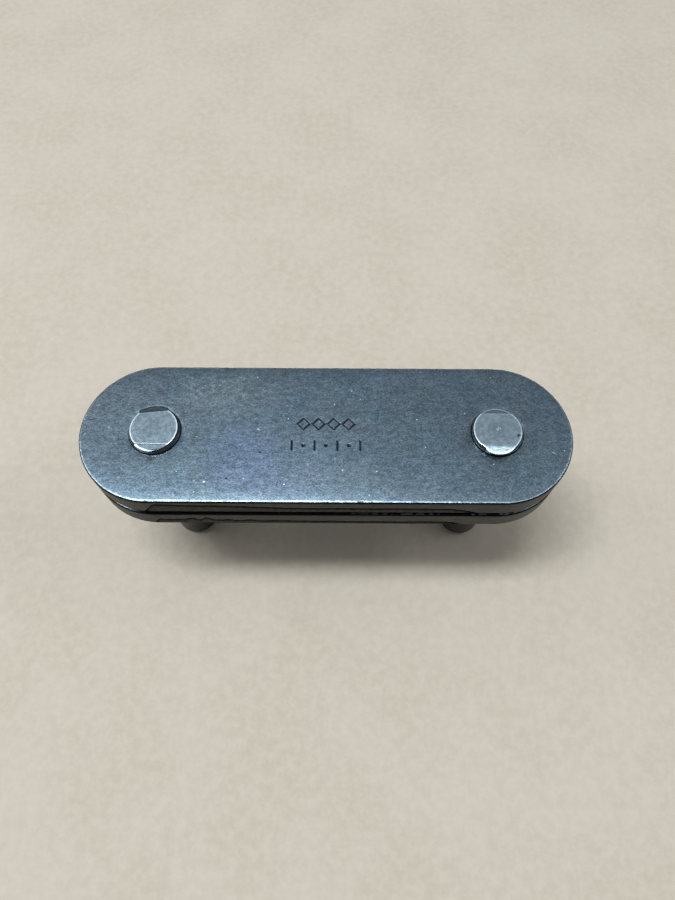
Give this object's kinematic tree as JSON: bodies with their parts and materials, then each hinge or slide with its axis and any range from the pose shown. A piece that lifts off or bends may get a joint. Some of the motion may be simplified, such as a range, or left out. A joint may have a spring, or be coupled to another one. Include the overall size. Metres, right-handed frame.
{
  "type": "double-pitch roller chain outer link",
  "caption": "Connecting outer link of a heavy double-pitch roller chain: fixed plate with staked bearing pins and a loose plate sliding on them.",
  "frame": {"origin": "on the surface that the link stands on, midway between the pins' free ends", "axes": "+X from the left pin to the right pin, +Y across the plates away from the viewer, +Z along the pins towards their staked heads"},
  "size_m": [0.0916, 0.0282, 0.047],
  "materials": {
    "plate_steel": "heat-treated and oiled, dark blue-grey, fine pitting and handling scuffs",
    "pin_steel": "ground shank, staked and burnished heads"
  },
  "bodies": {
    "pin_link": {"fixed_plate": "plate_steel", "pin_left": "pin_steel", "pin_right": "pin_steel"},
    "loose_plate": {"loose_plate": "plate_steel"}
  },
  "joints": [
    {"name": "loose_plate_slide", "type": "slide", "parent": "pin_link", "child": "loose_plate", "axis": [0, 0, -1], "range_m": [-0.0013, 0.0343]}
  ]
}
